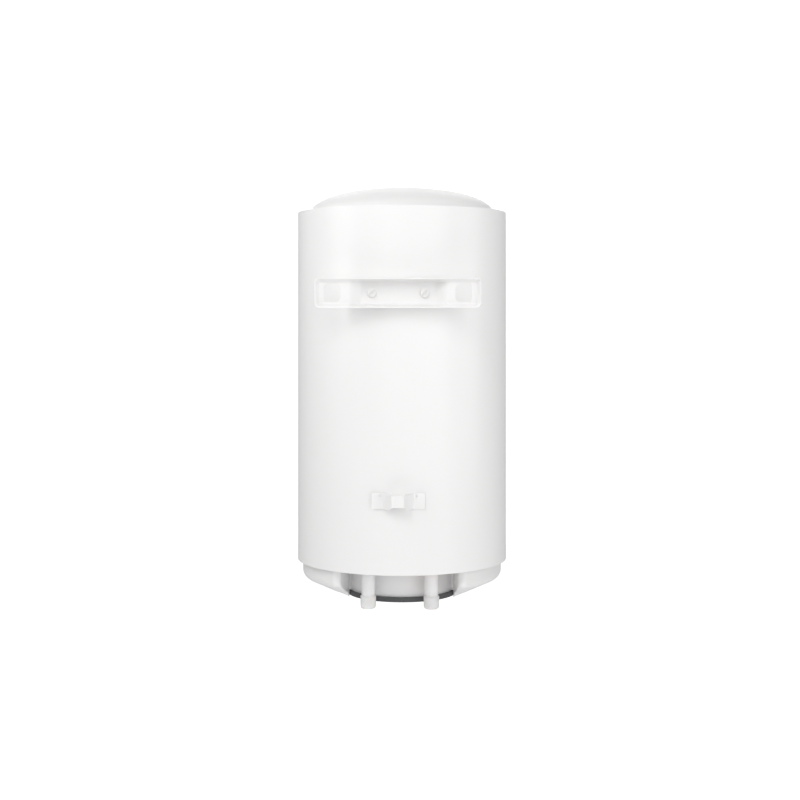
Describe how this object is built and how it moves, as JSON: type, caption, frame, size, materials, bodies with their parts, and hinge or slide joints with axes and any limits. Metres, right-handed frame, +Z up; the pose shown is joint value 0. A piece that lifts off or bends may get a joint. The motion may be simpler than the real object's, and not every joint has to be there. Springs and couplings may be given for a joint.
{
  "type": "tank water heater",
  "caption": "Slim upright wall-hung electric storage water heater: round steel casing, domed lid, dished bottom with a pipe notch, hook bracket and spacer at the back.",
  "frame": {"origin": "on the wall plane, midway between the centres of the two hook holes", "axes": "+Y into the wall, -Y towards the front with the thermometer, +Z up along the tank"},
  "size_m": [0.3439, 0.374, 0.6808],
  "materials": {
    "white_enamel": "gloss",
    "cover_plastic": "satin",
    "cap_plastic": "satin",
    "dark_plastic": "satin",
    "grey_nylon": "matte",
    "foam": "matte",
    "plain_plastic": "matte",
    "tank_enamel": "gloss",
    "zinc_steel": "satin",
    "bracket_screw_steel": "satin",
    "gasket_rubber": "matte",
    "stainless": "satin",
    "magnesium": "matte",
    "copper": "satin",
    "brass": "satin",
    "switch_plastic": "matte",
    "button_red": "satin",
    "wire_brown": "satin",
    "wire_blue": "satin",
    "wire_green": "satin",
    "wire_black": "satin",
    "wire_red": "satin",
    "lamp_amber": "gloss",
    "lens_amber": "gloss",
    "ring_blue": "satin",
    "ring_red": "satin",
    "bezel_chrome": "polished",
    "dial_white": "satin",
    "needle_red": "satin",
    "gauge_glass": "gloss"
  },
  "bodies": {
    "heater": {"outer_casing": "white_enamel", "top_cover": "cover_plastic", "bottom_cover": "cover_plastic", "service_cover": "dark_plastic", "service_cover_screws": "zinc_steel", "base_ring": "plain_plastic", "insulation_foam": "foam", "inner_tank": "tank_enamel", "tank_flange": "zinc_steel", "flange_gasket": "gasket_rubber", "flange_studs": "zinc_steel", "flange_washers": "zinc_steel", "flange_nuts": "zinc_steel", "heating_element": "stainless", "element_terminals": "brass", "magnesium_anode": "magnesium", "anode_nut": "zinc_steel", "sensor_pocket": "stainless", "sensor_bulbs": "copper", "thermostat_strap": "zinc_steel", "thermostat_body": "switch_plastic", "thermostat_tabs": "brass", "thermostat_screws": "zinc_steel", "cutout_body": "switch_plastic", "terminal_block": "switch_plastic", "terminal_screws": "brass", "live_wire": "wire_brown", "neutral_wire": "wire_blue", "earth_wire": "wire_green", "earth_screw": "brass", "element_leads": "wire_black", "lamp_leads": "wire_red", "indicator_lamp": "lamp_amber", "indicator_lens": "lens_amber", "cold_inlet_pipe": "white_enamel", "hot_outlet_pipe": "white_enamel", "hot_standpipe": "stainless", "cold_diffuser": "plain_plastic", "cold_rosette": "ring_blue", "hot_rosette": "ring_red", "cable_gland": "grey_nylon", "gland_nut": "grey_nylon", "hook_bracket": "white_enamel", "bracket_screws": "bracket_screw_steel", "bracket_bosses": "zinc_steel", "spacer_bracket": "white_enamel", "thermometer_housing": "dark_plastic", "thermometer_bezel": "bezel_chrome", "thermometer_dial": "dial_white", "thermometer_glass": "gauge_glass", "thermometer_bulb": "copper"},
    "knob": {"control_knob": "dark_plastic", "thermostat_shaft": "zinc_steel"},
    "reset": {"reset_button": "button_red"},
    "needle": {"thermometer_needle": "needle_red", "thermometer_spindle": "brass"},
    "cold_cap": {"cold_thread_cap": "cap_plastic"},
    "hot_cap": {"hot_thread_cap": "cap_plastic"}
  },
  "joints": [
    {"name": "temperature_knob", "type": "hinge", "parent": "heater", "child": "knob", "pos_m": [0, -0.197, -0.5], "axis": [0, 0, 1], "range_deg": [0, 270]},
    {"name": "cutout_reset", "type": "slide", "parent": "heater", "child": "reset", "axis": [0, 0, 1], "range_m": [0, 0.002], "stiffness_N_per_m": 400, "springref_m": -0.001},
    {"name": "thermometer_reading", "type": "hinge", "parent": "heater", "child": "needle", "pos_m": [0, -0.3657, -0.3], "axis": [0, 1, 0], "range_deg": [0, 240]},
    {"name": "cold_cap_pull", "type": "slide", "parent": "heater", "child": "cold_cap", "axis": [0, 0, -1], "range_m": [0, 0.04]},
    {"name": "hot_cap_pull", "type": "slide", "parent": "heater", "child": "hot_cap", "axis": [0, 0, -1], "range_m": [0, 0.04]}
  ]
}
